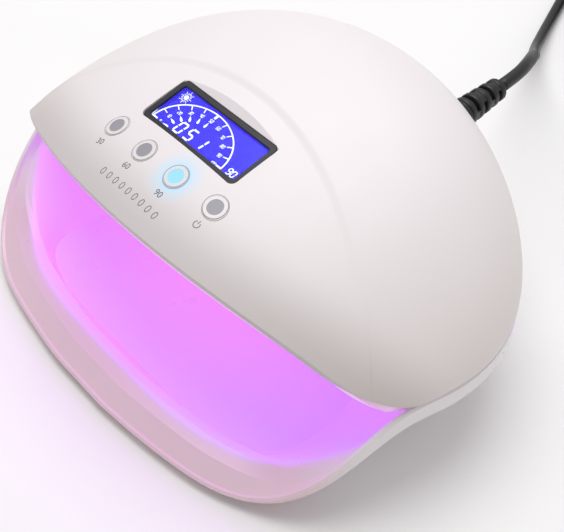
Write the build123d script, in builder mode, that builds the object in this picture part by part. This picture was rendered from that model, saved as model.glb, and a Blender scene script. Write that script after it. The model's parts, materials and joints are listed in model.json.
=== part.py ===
from build123d import *
import math
import os

# UV LED nail lamp: a domed housing with display, four keys and LED modules, standing on a
# scoop-shaped tray that it lifts off. Millimetres, +Z up, floor at z = 0, front towards -Y.
# The origin is on the floor under the middle of the body.

os.makedirs("parts", exist_ok=True)

# ---- driving dimensions -------------------------------------------------------------------
HALF_WIDTH = 115.0          # half of the body's width
FRONT_REACH = 111.9         # front semi-axis of the dome's plan, most of it cut away by the brow
REAR_REACH = 82.1           # rear semi-axis of the dome's plan
DOME_HEIGHT = 57.0          # dome above the seam
DOME_POWER = 0.70           # height = DOME_HEIGHT * (1 - rho^2) ^ DOME_POWER
LEAN = 0.58                 # the dome's crown leans back by this much per unit of height
SEAM = 43.0                 # height of the seam between housing and tray
WALL = 2.4                  # housing wall
PANEL_DROP = 1.0            # the front face panel is this much lower at the crown
CREASE_RADIUS = 165.0       # plan radius of the crease behind the face panel
CREASE_Y = 4.7              # where the crease crosses the centre line
BROW_RADIUS = 230.0         # plan radius of the brow
BROW_Y = -62.3              # where the brow crosses the centre line
CORNER_RADIUS = 14.0        # the housing's two lower front corners

SEAM_GAP = 0.6              # shadow gap between housing and tray
BAND = 7.6                  # height of the tray's outer band at the sides
LIP_HEIGHT = 4.6            # top of the front lip above the floor
LIP_BAND = 1.8              # thickness of the front lip's edge
UNDERSIDE = 1.6             # lowest face of the tray
TRAY_FLOOR = 4.8            # top of the tray's floor
TRAY_WALL = 2.4             # rim thickness
RIDGE_INSET = 14.0          # the ridge behind the front apron
RIDGE_HEIGHT = 10.0
SLOPE_START = -27.0         # where the rim starts to sweep down, in y
SLOPE_END = -70.0           # where it has reached the lip
FRONT_LIP = -84.5           # front end of the lip, in y

WINDOW_WIDTH = 55.2         # display window with its black border
WINDOW_DEPTH = 21.7
WINDOW_CORNER = 2.5
WINDOW_CENTRE = (0, -18.9, SEAM + 46.3)
WINDOW_TILT = 16.5          # degrees, facing up and forwards
RECESS_TILT = 42.0          # slope of the recess behind the window, in degrees
BORDER = 2.4                # black border round the picture

KEY_RADIUS = 4.45
KEY_GAP = 0.15              # all round between key and housing
KEY_TRAVEL = 0.6
DISC_RADIUS = 3.1
KEYS = {"30": (-30.1, -38.2), "60": (-9.7, -39.9), "90": (9.7, -39.9), "on": (30.1, -38.2)}

LINER_WALL = 2.0
SHELL_GAP = 0.4             # between the housing's inside and the liner
LINER_HEIGHT = 31.0         # liner dome above the seam
LINER_HALF_WIDTH = 109.0
LINER_FRONT = 300.0
LINER_REAR = 74.0
LINER_LEAN = 0.20
SKIRT_INSET = 3.7           # the liner's skirt stands inside the tray's rim
SKIRT_DEPTH = 4.6           # below the seam
BROW_SETBACK = 1.6          # liner's front edge behind the brow

CORD_DIAMETER = 5.4
EXIT_POINT = (28.0, 80.1, SEAM + 24.0)
EXIT_DIRECTION = (-0.139, 0.990, 0)
BOOT_LENGTH = 25.0
BOOT_BASE = -13.0           # inner end of the boot, behind the housing's surface
BOOT_RADIUS = 6.0
BOOT_TIP_RADIUS = 4.2
COIL_CENTRE = (-52.0, 308.3)
COIL_RADIUS = 35.4          # middle of the turns
COIL_ROWS = 3               # turns side by side, in two layers
COIL_PITCH = 5.6            # from turn to turn

PROFILE_RADIUS = 100.0      # radius of the unstretched dome

FEET = [(-66, -60), (66, -60), (-50, 14), (50, 14)]
FOOT_RADIUS = 7.0
FOOT_BEVEL = 0.3

# ---- shared shapes ------------------------------------------------------------------------
def finish(built, name):
    """Label a piece and write its file."""
    built.part.label = name
    export_step(built.part, f"parts/{name}.step")
    print(name, len(built.solids()), built.part.is_valid, round(built.part.volume))


def stretched(shape, half_width, reach, lean, base):
    """The revolved unit dome, stretched to its plan and leaning back."""
    return shape.transform_geometry(
        Matrix(
            [
                [half_width / PROFILE_RADIUS, 0, 0, 0],
                [0, reach / PROFILE_RADIUS, lean, 0],
                [0, 0, 1, base],
            ]
        )
    )


def dome(half_width, front, rear, height, lean, base=SEAM):
    """A solid dome whose plan is half an ellipse in front and half an ellipse behind."""
    steps = 18
    points = []
    for step in range(steps + 1):
        angle = math.pi / 2 * step / steps
        rise = height * math.sin(angle) ** (2 * DOME_POWER)
        points.append((PROFILE_RADIUS * math.cos(angle), rise))
    halves = []
    for reach, turn in ((front, -180), (rear, 180)):
        with BuildPart() as half:
            with BuildSketch(Plane.XZ):
                with BuildLine():
                    side = Spline(*points)
                    Polyline(side @ 1, (0, 0), side @ 0)
                make_face()
            revolve(axis=Axis.Z, revolution_arc=turn)
        halves.append(stretched(half.part, half_width, reach, lean, base))
    return halves[0] + halves[1]


def dome_height(x, y, form):
    """Height above the seam of the dome of this form, at a plan position."""
    half_width, front, rear, height, lean = form
    rise = 0.0
    for _ in range(60):
        forward = y - lean * rise
        reach = front if forward < 0 else rear
        inside = 1 - (x / half_width) ** 2 - (forward / reach) ** 2
        rise = 0.5 * (rise + height * max(inside, 0) ** DOME_POWER)
    return rise


def surface_plane(x, y, form):
    """A plane on the dome with its z-axis along the outward normal."""
    step = 0.5
    along_x = dome_height(x + step, y, form) - dome_height(x - step, y, form)
    along_y = dome_height(x, y + step, form) - dome_height(x, y - step, form)
    normal = Vector(-along_x, -along_y, 2 * step).normalized()
    sideways = Vector(0, 1, 0).cross(normal).normalized()
    return Plane((x, y, SEAM + dome_height(x, y, form)), x_dir=sideways, z_dir=normal)


def oval(half_width, front, rear):
    """Closed plan outline of the body, for extruding."""
    with BuildLine() as outline:
        EllipticalCenterArc((0, 0), half_width, rear, 0, arc_size=180)
        EllipticalCenterArc((0, 0), half_width, front, 180, arc_size=180)
    return make_face(outline.edges())


def brow_cut(radius, corner, bottom):
    """Everything in front of the brow, with the lower corner rounded."""
    centre_y = BROW_Y + BROW_RADIUS
    top = SEAM + DOME_HEIGHT + 20
    far = radius + 80
    with BuildPart() as cut:
        with BuildSketch(Plane.XZ):
            with BuildLine():
                Line((radius, top), (radius, bottom + corner))
                arc = RadiusArc((radius, bottom + corner), (radius - corner, bottom), corner)
                Polyline(arc @ 1, (radius - corner, bottom - 20), (far, bottom - 20), (far, top), (radius, top))
            make_face()
        revolve(axis=Axis.Z)
    return cut.part.moved(Location((0, centre_y, 0)))


def ring_wire(points):
    """Closed wire through a right half, from rear to front, and its mirror image."""
    mirrored = [(-x, y, z) for x, y, z in reversed(points)]
    right = Spline(*points, tangents=((1, 0, 0), (-1, 0, 0)))
    left = Spline(*mirrored, tangents=((-1, 0, 0), (1, 0, 0)))
    return Wire([right.edge(), left.edge()])


# ---- tray ---------------------------------------------------------------------------------
REAR_ANGLES = (90, 70, 50, 30, 12)      # points round the rear of the tray's plan, in degrees
PLAN_FRONT = [
    (HALF_WIDTH, -4),
    (111.2, -29),
    (105.2, -49),
    (97, -60.5),
    (83.5, -70.4),
    (57, -79.4),
    (26, -83.7),
    (0, FRONT_LIP),
]
UNDERSIDE_PLAN = [(0, 40), (60, 20), (74, -10), (80, -40), (79, -62), (60, -74), (0, -79)]
FLOOR_PLAN = [(0, 38), (57, 18), (71, -10), (76, -35), (70, -52), (50, -60), (0, -62)]


def half_plan(points):
    """Right half of an outline, from the middle of the rear to the middle of the front."""
    return Spline(*points, tangents=((1, 0), (-1, 0)))


def ramp(y):
    """0 behind the slope, 1 along the lip, with rounded ends."""
    softness = 0.10
    along = (SLOPE_START - y) / (SLOPE_START - SLOPE_END)
    return 0.5 * (1 + math.hypot(along, softness) - math.hypot(along - 1, softness))


def tray_rings():
    """The tray's surface as rings, from the underside round the rim to the floor."""
    rear = [
        (HALF_WIDTH * math.cos(math.radians(angle)), REAR_REACH * math.sin(math.radians(angle)))
        for angle in REAR_ANGLES
    ]
    outline = half_plan(rear + PLAN_FRONT)
    underside = half_plan(UNDERSIDE_PLAN)
    floor = half_plan(FLOOR_PLAN)
    count = 20
    names = ("foot", "band", "edge_out", "crown", "edge_in", "wall", "crest_out", "crest_in", "floor")
    rings = {name: [] for name in names}
    rim_top = SEAM - SEAM_GAP
    for step in range(count + 1):
        fraction = step / count
        place = outline @ fraction
        along = outline % fraction
        inward = Vector(along.Y, -along.X)
        slope = ramp(place.Y)
        steep = slope**2
        rim = rim_top + (LIP_HEIGHT - rim_top) * slope
        low = rim - BAND - (LIP_BAND - BAND) * slope
        ridge_inset = TRAY_WALL + 0.9 + (RIDGE_INSET - TRAY_WALL) * steep
        ridge = rim - 6.5 * (1 - slope) + (RIDGE_HEIGHT - LIP_HEIGHT) * steep
        apron = 0.75 * (ridge - rim + 1.4) * steep
        rows = {
            "band": (0.5, low),
            "edge_out": (0.0, rim - 0.9),
            "crown": (TRAY_WALL * 0.3, rim),
            "edge_in": (TRAY_WALL * 0.8, rim - 0.1),
            "wall": (TRAY_WALL + 0.1 + 0.5 * (ridge_inset - TRAY_WALL) * steep, rim - 1.2 + apron),
            "crest_out": (ridge_inset, ridge - 0.1 * steep),
            "crest_in": (ridge_inset + 0.4 + 3.0 * steep, ridge - 0.4),
        }
        spots = {name: (place + inward * inset, height) for name, (inset, height) in rows.items()}
        spots["foot"] = (underside @ fraction, UNDERSIDE)
        spots["floor"] = (floor @ fraction, TRAY_FLOOR)
        for name, (spot, height) in spots.items():
            across = 0.0 if step in (0, count) else spot.X
            rings[name].append((across, spot.Y, height))
    return [ring_wire(rings[name]) for name in names]


MAGNETS = (25, 68, 112, 155)     # degrees round the seam
MAGNET_INSET = 11.2
MAGNET_RADIUS = 3.5
MAGNET_DEPTH = 3.0
KEEPER_DEPTH = 1.5
LUG_RADIUS = 4.8
LUG_BOTTOM = 31.0           # the tray's magnet lugs start at this height


def seam_point(degrees, inset):
    """Plan position at an angle round the seam, inside the body's outline."""
    angle = math.radians(degrees)
    reach = REAR_REACH if degrees > 0 else FRONT_REACH
    return ((HALF_WIDTH - inset) * math.cos(angle), (reach - inset) * math.sin(angle))


magnet_spots = [seam_point(degrees, MAGNET_INSET) for degrees in MAGNETS]
rim_height = SEAM - SEAM_GAP

with BuildPart() as lower_tray:
    add(Solid.make_loft(tray_rings(), ruled=True))
    for spot in magnet_spots:
        with BuildSketch(Plane.XY.offset(LUG_BOTTOM)):
            with Locations(spot):
                Circle(LUG_RADIUS)
        extrude(amount=rim_height - LUG_BOTTOM)
        with BuildSketch(Plane.XY.offset(rim_height - MAGNET_DEPTH)):
            with Locations(spot):
                Circle(MAGNET_RADIUS)
        extrude(amount=MAGNET_DEPTH, mode=Mode.SUBTRACT)
finish(lower_tray, "lower_tray")

with BuildPart() as rubber_feet:
    with BuildSketch():
        with Locations(*FEET):
            Circle(FOOT_RADIUS)
    extrude(amount=UNDERSIDE)
    chamfer(rubber_feet.edges().group_by(Axis.Z)[0], FOOT_BEVEL)
finish(rubber_feet, "rubber_feet")

with BuildPart() as catch_magnets:
    with BuildSketch(Plane.XY.offset(rim_height - MAGNET_DEPTH)):
        with Locations(*magnet_spots):
            Circle(MAGNET_RADIUS)
    extrude(amount=MAGNET_DEPTH)
finish(catch_magnets, "catch_magnets")


# ---- housing ------------------------------------------------------------------------------
SHELL = (HALF_WIDTH, FRONT_REACH, REAR_REACH, DOME_HEIGHT, LEAN)
FACE = (HALF_WIDTH, FRONT_REACH, REAR_REACH, DOME_HEIGHT - PANEL_DROP, LEAN)
HOLLOW = (HALF_WIDTH - WALL, FRONT_REACH - WALL, REAR_REACH - WALL, DOME_HEIGHT - PANEL_DROP - WALL, LEAN)
LINER = (LINER_HALF_WIDTH, LINER_FRONT, LINER_REAR, LINER_HEIGHT, LINER_LEAN)

shell_dome = dome(*SHELL)
face_dome = dome(*FACE)
hollow_dome = dome(*HOLLOW)
window_plane = Plane(WINDOW_CENTRE).rotated((WINDOW_TILT, 0, 0))
key_planes = {name: surface_plane(x, y, FACE) for name, (x, y) in KEYS.items()}
exit_plane = Plane(EXIT_POINT, x_dir=(0.990, 0.139, 0), z_dir=EXIT_DIRECTION)

SCREWS = (3, 46, 90, 134, 177)      # degrees round the seam
SCREW_INSET = 7.0
SCREW_RADIUS = 1.3
SCREW_HEAD_RADIUS = 2.6
SCREW_HEAD = 1.8
PAD_RADIUS = 3.6
PAD_TOP = SEAM + 5.0
BOSS_RADIUS = 2.6
COUNTERBORE = 2.0
screw_spots = [seam_point(degrees, SCREW_INSET) for degrees in SCREWS]

COLLAR_WALL = 2.2
COLLAR_DEPTH = 6.6
KEY_SLEEVE = (6.2, 7.4)             # inner and outer radius of a key's guide sleeve
SWITCH_TOP = -4.4                   # depths below the face, along the key's axis
SWITCH_BOTTOM = -6.4
KEY_BOTTOM = -3.4
KEY_FLANGE_RADIUS = 5.6
KEY_FLANGE_TOP = -2.65
KEY_PROUD = 0.35
DISC_DEPTH = 0.6
PLUNGER_RADIUS = 1.2
BOARD = 1.0                         # thickness of the small boards
FIT_GAP = 0.15                      # all round between pieces that slip into each other


def window_outline(margin, mode=Mode.ADD):
    """Rounded rectangle of the display window, larger all round by a margin."""
    corner = WINDOW_CORNER + max(margin, -1.5)
    return RectangleRounded(WINDOW_WIDTH + 2 * margin, WINDOW_DEPTH + 2 * margin, corner, mode=mode)


def slab(plane, low, high, outline):
    """Outline drawn on a plane, filled between two heights above it."""
    with BuildPart() as block:
        with BuildSketch(plane.offset(low)):
            outline()
        extrude(amount=high - low)
    return block.part


with BuildPart() as face_region:
    with BuildSketch(Plane.XY.offset(SEAM - 1)):
        with Locations((0, CREASE_Y - CREASE_RADIUS)):
            Circle(CREASE_RADIUS)
    extrude(amount=DOME_HEIGHT + 2)

collar = slab(window_plane, -COLLAR_DEPTH, 8, lambda: window_outline(COLLAR_WALL)) & face_dome
sleeves = [
    slab(plane, SWITCH_BOTTOM, 2, lambda: Circle(KEY_SLEEVE[1])) & face_dome
    for plane in key_planes.values()
]
bosses = [
    slab(Plane((*spot, PAD_TOP)), 0, 40, lambda: Circle(BOSS_RADIUS)) & hollow_dome
    for spot in screw_spots
]

recess_plane = Plane(window_plane.from_local_coords((0, WINDOW_DEPTH / 2, 0))).rotated((RECESS_TILT, 0, 0))
recess = slab(recess_plane, 0, 8, lambda: Rectangle(WINDOW_WIDTH, 16))
window_hole = slab(window_plane, -COLLAR_DEPTH - 4, 12, lambda: window_outline(FIT_GAP))
key_bores = [
    slab(plane, SWITCH_BOTTOM - 3, KEY_FLANGE_TOP + FIT_GAP, lambda: Circle(KEY_SLEEVE[0]))
    for plane in key_planes.values()
]
key_holes = [slab(plane, -4, 4, lambda: Circle(KEY_RADIUS + KEY_GAP)) for plane in key_planes.values()]
boot_hole = slab(exit_plane, BOOT_BASE - 2, 6, lambda: Circle(BOOT_RADIUS + 0.1))
screw_pilots = [
    slab(Plane((*spot, PAD_TOP)), -1, 4, lambda: Circle(SCREW_RADIUS + 0.05)) for spot in screw_spots
]
shell_brow = brow_cut(BROW_RADIUS, CORNER_RADIUS, SEAM)

with BuildPart() as top_shell:
    add(shell_dome)
    add(face_region.part, mode=Mode.SUBTRACT)
    add(face_dome & face_region.part)
    add(hollow_dome, mode=Mode.SUBTRACT)
    add([collar, *sleeves, *bosses])
    add([recess, window_hole, *key_bores, *key_holes, boot_hole, *screw_pilots], mode=Mode.SUBTRACT)
    add(shell_brow, mode=Mode.SUBTRACT)
finish(top_shell, "top_shell")

# ---- liner and its LED modules --------------------------------------------------------------
LED_BOARDS = {                      # centre in plan, width, depth, LEDs across, LEDs deep
    "top": ((0, 14), 64, 30, 4, 2),
    "left": ((-74, -4), 32, 44, 2, 3),
    "right": ((74, -4), 32, 44, 2, 3),
    "rear_left": ((-40, 47), 34, 22, 3, 1),
    "rear_right": ((40, 47), 34, 22, 3, 1),
}
LED_PITCH = 14.0
LED_RADIUS = 2.9
LED_LENGTH = 7.6
LED_ROUNDING = 1.6
BOARD_STANDOFF = 3.0                # from the liner to the LED board
LED_BOARD = 1.6
led_planes = {name: surface_plane(*row[0], LINER) for name, row in LED_BOARDS.items()}
led_grids = {name: GridLocations(LED_PITCH, LED_PITCH, row[3], row[4]) for name, row in LED_BOARDS.items()}


def leds(name, low, high, radius):
    """One cylinder for each LED of a module, between two heights over the liner."""
    with BuildPart() as group:
        with BuildSketch(led_planes[name].offset(low)):
            with led_grids[name]:
                Circle(radius)
        extrude(amount=high - low)
    return group.part


def smaller(form, margin):
    """A dome's form with its half width, reaches and height less by a margin."""
    return tuple(size - margin for size in form[:4]) + form[4:]


liner_space = dome(*smaller(HOLLOW, SHELL_GAP))
liner_outer = dome(*LINER) & liner_space
liner_inner = dome(*smaller(LINER, LINER_WALL)) & dome(*smaller(HOLLOW, SHELL_GAP + LINER_WALL))
skirt_plan = [size - SKIRT_INSET for size in SHELL[:3]]
lug_top = SEAM + 4.0

pads = [
    slab(Plane((*spot, SEAM)), 0, PAD_TOP - SEAM, lambda: Circle(PAD_RADIUS)) & liner_space
    for spot in screw_spots
]
lugs = [slab(Plane((*spot, SEAM)), 0, lug_top - SEAM, lambda: Circle(LUG_RADIUS)) for spot in magnet_spots]
keeper_seats = [
    slab(Plane((*spot, SEAM)), 0, KEEPER_DEPTH, lambda: Circle(MAGNET_RADIUS)) for spot in magnet_spots
]
screw_bores = [slab(Plane((*spot, SEAM)), -1, 8, lambda: Circle(SCREW_RADIUS + 0.2)) for spot in screw_spots]
screw_sinks = [
    slab(Plane((*spot, SEAM)), -1, COUNTERBORE, lambda: Circle(SCREW_HEAD_RADIUS + 0.3))
    for spot in screw_spots
]
led_bores = [leds(name, -6, BOARD_STANDOFF, LED_RADIUS + 0.3) for name in LED_BOARDS]
liner_brow = brow_cut(BROW_RADIUS - BROW_SETBACK, CORNER_RADIUS, SEAM - SKIRT_DEPTH)

with BuildPart() as reflector_liner:
    add(liner_outer)
    with BuildSketch(Plane.XY.offset(SEAM - SKIRT_DEPTH)):
        add(oval(*skirt_plan))
    extrude(amount=SKIRT_DEPTH + 1.6)
    add(pads)
    add(liner_inner, mode=Mode.SUBTRACT)
    with BuildSketch(Plane.XY.offset(SEAM - SKIRT_DEPTH - 1)):
        add(oval(*[size - LINER_WALL for size in skirt_plan]))
    extrude(amount=SKIRT_DEPTH + 1, mode=Mode.SUBTRACT)
    add(lugs)
    add([*keeper_seats, *screw_bores, *screw_sinks, *led_bores], mode=Mode.SUBTRACT)
    add(liner_brow, mode=Mode.SUBTRACT)
finish(reflector_liner, "reflector_liner")

with BuildPart() as keeper_plates:
    with BuildSketch(Plane.XY.offset(SEAM)):
        with Locations(*magnet_spots):
            Circle(MAGNET_RADIUS)
    extrude(amount=KEEPER_DEPTH)
finish(keeper_plates, "keeper_plates")

with BuildPart() as case_screws:
    with BuildSketch(Plane.XY.offset(SEAM + COUNTERBORE - SCREW_HEAD)):
        with Locations(*screw_spots):
            Circle(SCREW_HEAD_RADIUS)
    extrude(amount=SCREW_HEAD)
    with BuildSketch(Plane.XY.offset(SEAM + COUNTERBORE)):
        with Locations(*screw_spots):
            Circle(SCREW_RADIUS)
    extrude(amount=PAD_TOP + 3 - SEAM - COUNTERBORE)
    with BuildSketch(Plane.XY.offset(SEAM + COUNTERBORE - SCREW_HEAD)):
        with Locations(*screw_spots):
            RegularPolygon(1.3, 6)
    extrude(amount=1.0, mode=Mode.SUBTRACT)
finish(case_screws, "case_screws")

for name, (centre, width, depth, across, deep) in LED_BOARDS.items():
    with BuildPart() as led_board:
        with BuildSketch(led_planes[name].offset(BOARD_STANDOFF)):
            RectangleRounded(width, depth, 2)
        extrude(amount=LED_BOARD)
    finish(led_board, f"led_board_{name}")
    cylinders = leds(name, BOARD_STANDOFF - LED_LENGTH + LED_ROUNDING, BOARD_STANDOFF, LED_RADIUS)
    with BuildPart() as led_beads:
        add(cylinders)
        inner_faces = led_beads.faces().sort_by(Axis(led_planes[name].origin, led_planes[name].z_dir))
        fillet(inner_faces[: across * deep].edges(), LED_ROUNDING)
    finish(led_beads, f"led_beads_{name}")

# ---- display --------------------------------------------------------------------------------
BORDER_DEPTH = 1.8
GLASS = (-1.6, -0.8)
PICTURE = (-3.3, -1.8)
BACKLIGHT = (-5.0, -3.3)
DISPLAY_BOARD = (-6.6, -5.0)
RETAINER = (-7.8, -6.6)


def window_piece(low, high, margin):
    return slab(window_plane, low, high, lambda: window_outline(margin))


border_outer = window_piece(-BORDER_DEPTH, 0, 0)
border_inner = window_piece(-BORDER_DEPTH, 0, -BORDER)
with BuildPart() as display_border:
    add(border_outer)
    add(border_inner, mode=Mode.SUBTRACT)
    rising = Axis(WINDOW_CENTRE, window_plane.z_dir)
    chamfer(display_border.faces().sort_by(rising)[-1].edges(), 0.3)
finish(display_border, "display_border")

LAYERS = {                          # depths below the housing's surface, and the margin
    "display_window": (GLASS, -BORDER - 0.05),
    "lcd_panel": (PICTURE, -1.0),
    "lcd_backlight": (BACKLIGHT, -1.0),
    "display_board": (DISPLAY_BOARD, -0.1),
}
for name, ((low, high), margin) in LAYERS.items():
    with BuildPart() as layer:
        with BuildSketch(window_plane.offset(low)):
            window_outline(margin)
        extrude(amount=high - low)
    finish(layer, name)

with BuildPart() as display_retainer:
    with BuildSketch(window_plane.offset(RETAINER[0])):
        window_outline(COLLAR_WALL)
        window_outline(-4.0, Mode.SUBTRACT)
    extrude(amount=RETAINER[1] - RETAINER[0])
finish(display_retainer, "display_retainer")

# ---- keys -----------------------------------------------------------------------------------
disc_seat = KEY_PROUD - DISC_DEPTH
for name, plane in key_planes.items():
    with BuildPart() as key_cap:
        with BuildSketch(plane.offset(KEY_BOTTOM)):
            Circle(KEY_RADIUS)
        extrude(amount=KEY_PROUD - KEY_BOTTOM)
        top_edge = key_cap.faces().sort_by(Axis(plane.origin, plane.z_dir))[-1].edges()
        fillet(top_edge, 0.3)
        with BuildSketch(plane.offset(KEY_BOTTOM)):
            Circle(KEY_FLANGE_RADIUS)
        extrude(amount=KEY_FLANGE_TOP - KEY_BOTTOM)
        with BuildSketch(plane.offset(disc_seat)):
            Circle(DISC_RADIUS)
        extrude(amount=DISC_DEPTH, mode=Mode.SUBTRACT)
    finish(key_cap, f"key_cap_{name}")
    with BuildPart() as key_disc:
        with BuildSketch(plane.offset(disc_seat)):
            Circle(DISC_RADIUS)
        extrude(amount=DISC_DEPTH - 0.1)
    finish(key_disc, f"key_disc_{name}")
    with BuildPart() as plunger:
        with BuildSketch(plane.offset(SWITCH_TOP - KEY_TRAVEL)):
            Circle(PLUNGER_RADIUS)
        extrude(amount=KEY_BOTTOM - SWITCH_TOP + KEY_TRAVEL)
    finish(plunger, f"key_plunger_{name}")

with BuildPart() as tact_switches:
    for plane in key_planes.values():
        with BuildSketch(plane.offset(SWITCH_BOTTOM)):
            RectangleRounded(6, 6, 0.5)
        extrude(amount=SWITCH_TOP - SWITCH_BOTTOM)
        with BuildSketch(plane.offset(SWITCH_TOP - 1.4)):
            Circle(PLUNGER_RADIUS + 0.1)
        extrude(amount=1.4, mode=Mode.SUBTRACT)
finish(tact_switches, "tact_switches")

with BuildPart() as key_boards:
    for plane in key_planes.values():
        with BuildSketch(plane.offset(SWITCH_BOTTOM - BOARD)):
            Circle(KEY_SLEEVE[1])
        extrude(amount=BOARD)
finish(key_boards, "key_boards")

LIGHT_OFFSET = 4.6
with BuildPart() as key_lights:
    for plane in key_planes.values():
        with BuildSketch(plane.offset(SWITCH_BOTTOM)):
            with Locations((0, LIGHT_OFFSET)):
                Rectangle(2.0, 1.2)
        extrude(amount=0.8)
finish(key_lights, "key_lights")

# ---- power supply ---------------------------------------------------------------------------
POWER_BOARD_Z = 75.0
POWER_BOARD_CENTRE = (0, 51)
with BuildPart() as power_board:
    with BuildSketch(Plane.XY.offset(POWER_BOARD_Z)):
        with Locations(POWER_BOARD_CENTRE):
            RectangleRounded(68, 28, 2)
    extrude(amount=LED_BOARD)
finish(power_board, "power_board")
board_top = POWER_BOARD_Z + LED_BOARD

with BuildPart() as transformer:
    with BuildSketch(Plane.XY.offset(board_top)):
        with Locations((12, 49)):
            Rectangle(20, 17)
    extrude(amount=3)
    with BuildSketch(Plane.XY.offset(board_top + 3)):
        with Locations((12, 49)):
            RectangleRounded(15, 12, 2)
    extrude(amount=5)
    with BuildSketch(Plane.XY.offset(board_top + 8)):
        with Locations((12, 49)):
            Rectangle(20, 17)
    extrude(amount=2)
finish(transformer, "transformer")

with BuildPart() as capacitors:
    with BuildSketch(Plane.XY.offset(board_top)):
        with Locations((-10, 48), (-22, 46)):
            Circle(4.5)
    extrude(amount=9)
    fillet(capacitors.edges().filter_by(GeomType.CIRCLE).group_by(Axis.Z)[-1], 0.6)
finish(capacitors, "capacitors")

RIBBON_WIDTH = 12.0
RIBBON = 0.6
with BuildPart() as ribbon_cable:
    with BuildLine(Plane.YZ):
        rise = FilletPolyline((37.2, board_top + 0.3), (22, board_top + 5), (6, 83.2), (-10.2, 83.2), radius=8)
    with BuildSketch(Plane(rise @ 0, x_dir=(1, 0, 0), z_dir=rise % 0)):
        Rectangle(RIBBON_WIDTH, RIBBON)
    sweep(path=rise)
finish(ribbon_cable, "ribbon_cable")

# ---- cord -----------------------------------------------------------------------------------
cord_radius = CORD_DIAMETER / 2
slot_rows = (5.0, 9.5, 14.0, 18.5)
with BuildPart() as strain_relief:
    with BuildSketch(exit_plane.offset(BOOT_BASE)):
        Circle(BOOT_RADIUS)
    extrude(amount=-BOOT_BASE)
    with BuildSketch(exit_plane.offset(BOOT_BASE + 1)):
        Circle(BOOT_RADIUS + 2.5)
    extrude(amount=2)
    with BuildSketch(exit_plane):
        Circle(BOOT_RADIUS)
    with BuildSketch(exit_plane.offset(BOOT_LENGTH)):
        Circle(BOOT_TIP_RADIUS)
    loft()
    for index, row in enumerate(slot_rows):
        for side in (-1, 1):
            turn = 90 * (index % 2)
            slot_plane = exit_plane.offset(row).rotated((0, 0, turn))
            with BuildSketch(slot_plane):
                with Locations((side * 6.6, 0)):
                    Rectangle(6.6, 9)
            extrude(amount=1.7, mode=Mode.SUBTRACT)
finish(strain_relief, "strain_relief")

boot_end = exit_plane.from_local_coords((0, 0, BOOT_BASE))
with BuildPart() as inner_lead:
    with BuildLine():
        lead = FilletPolyline(
            boot_end,
            exit_plane.from_local_coords((0, 0, BOOT_BASE - 4)),
            (20, 59, 67.5),
            (12, 58, 68.5),
            (12, 58, POWER_BOARD_Z),
            radius=2.8,
        )
    with BuildSketch(Plane(lead @ 0, z_dir=lead % 0)):
        Circle(2.0)
    sweep(path=lead)
finish(inner_lead, "inner_lead")

boot_tip = exit_plane.from_local_coords((0, 0, BOOT_LENGTH))
ROUTE = [
    (22.85, 116.78, 67.0),
    (17.2, 129.4, 64.8),
    (7.9, 143.1, 57.8),
    (-4.6, 159.1, 45.1),
    (-21.5, 180.0, 27.7),
    (-39.7, 201.6, 12.7),
    (-52.3, 221.0, 6.5),
    (-62.2, 238.2, 3.8),
    (-71.1, 255.0, 3.2),
    (-80.7, 273.5, 3.3),
    (-89.2, 291.0, 3.3),
]
TAIL = [(-11.6, 315.4, 8.9), (-8.5, 299.3, 8.0), (-6.9, 282.8, 6.9)]


def corner_radii(points):
    """The largest arc that each corner of a route leaves room for."""
    radii = []
    for before, corner, after in zip(points, points[1:], points[2:]):
        run_in = Vector(*corner) - Vector(*before)
        run_out = Vector(*after) - Vector(*corner)
        turn = math.radians(run_in.get_angle(run_out))
        radii.append(0.45 * min(run_in.length, run_out.length) / math.tan(turn / 2))
    return radii


def cord_tube(points):
    """Round tube along straight runs joined by arcs."""
    radii = corner_radii(points)
    print("radii", [round(radius) for radius in radii])
    with BuildPart() as tube:
        with BuildLine():
            path = FilletPolyline(*points, radius=radii)
        with BuildSketch(Plane(path @ 0, z_dir=path % 0)):
            Circle(cord_radius)
        sweep(path=path)
    print("length", path.length, "volume ratio", tube.part.volume / (path.length * math.pi * cord_radius**2))
    return tube


finish(cord_tube([tuple(boot_tip)] + ROUTE), "cord_tube")
finish(cord_tube(TAIL), "cord_tail")

TIE = 0.6
coil_half = (COIL_ROWS - 1) * COIL_PITCH / 2 + cord_radius
coil_height = COIL_PITCH + CORD_DIAMETER
with BuildPart() as cord_coil:
    with BuildSketch(Plane((*COIL_CENTRE, TIE + coil_height / 2), x_dir=(1, 0, 0), z_dir=(0, -1, 0))):
        with Locations((COIL_RADIUS, 0)):
            RectangleRounded(2 * coil_half, coil_height, 2)
    revolve(axis=Axis((*COIL_CENTRE, 0), (0, 0, 1)))
finish(cord_coil, "cord_coil")

TIE_ANGLE = 120
tie_place = Plane(COIL_CENTRE).rotated((0, 0, TIE_ANGLE))
with BuildPart() as cord_tie:
    with BuildSketch(tie_place):
        with Locations((COIL_RADIUS, 0)):
            RectangleRounded(2 * coil_half + 2 * TIE, 7, 0.4)
    extrude(amount=coil_height + 2 * TIE)
    add(cord_coil.part, mode=Mode.SUBTRACT)
finish(cord_tie, "cord_tie")

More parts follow.
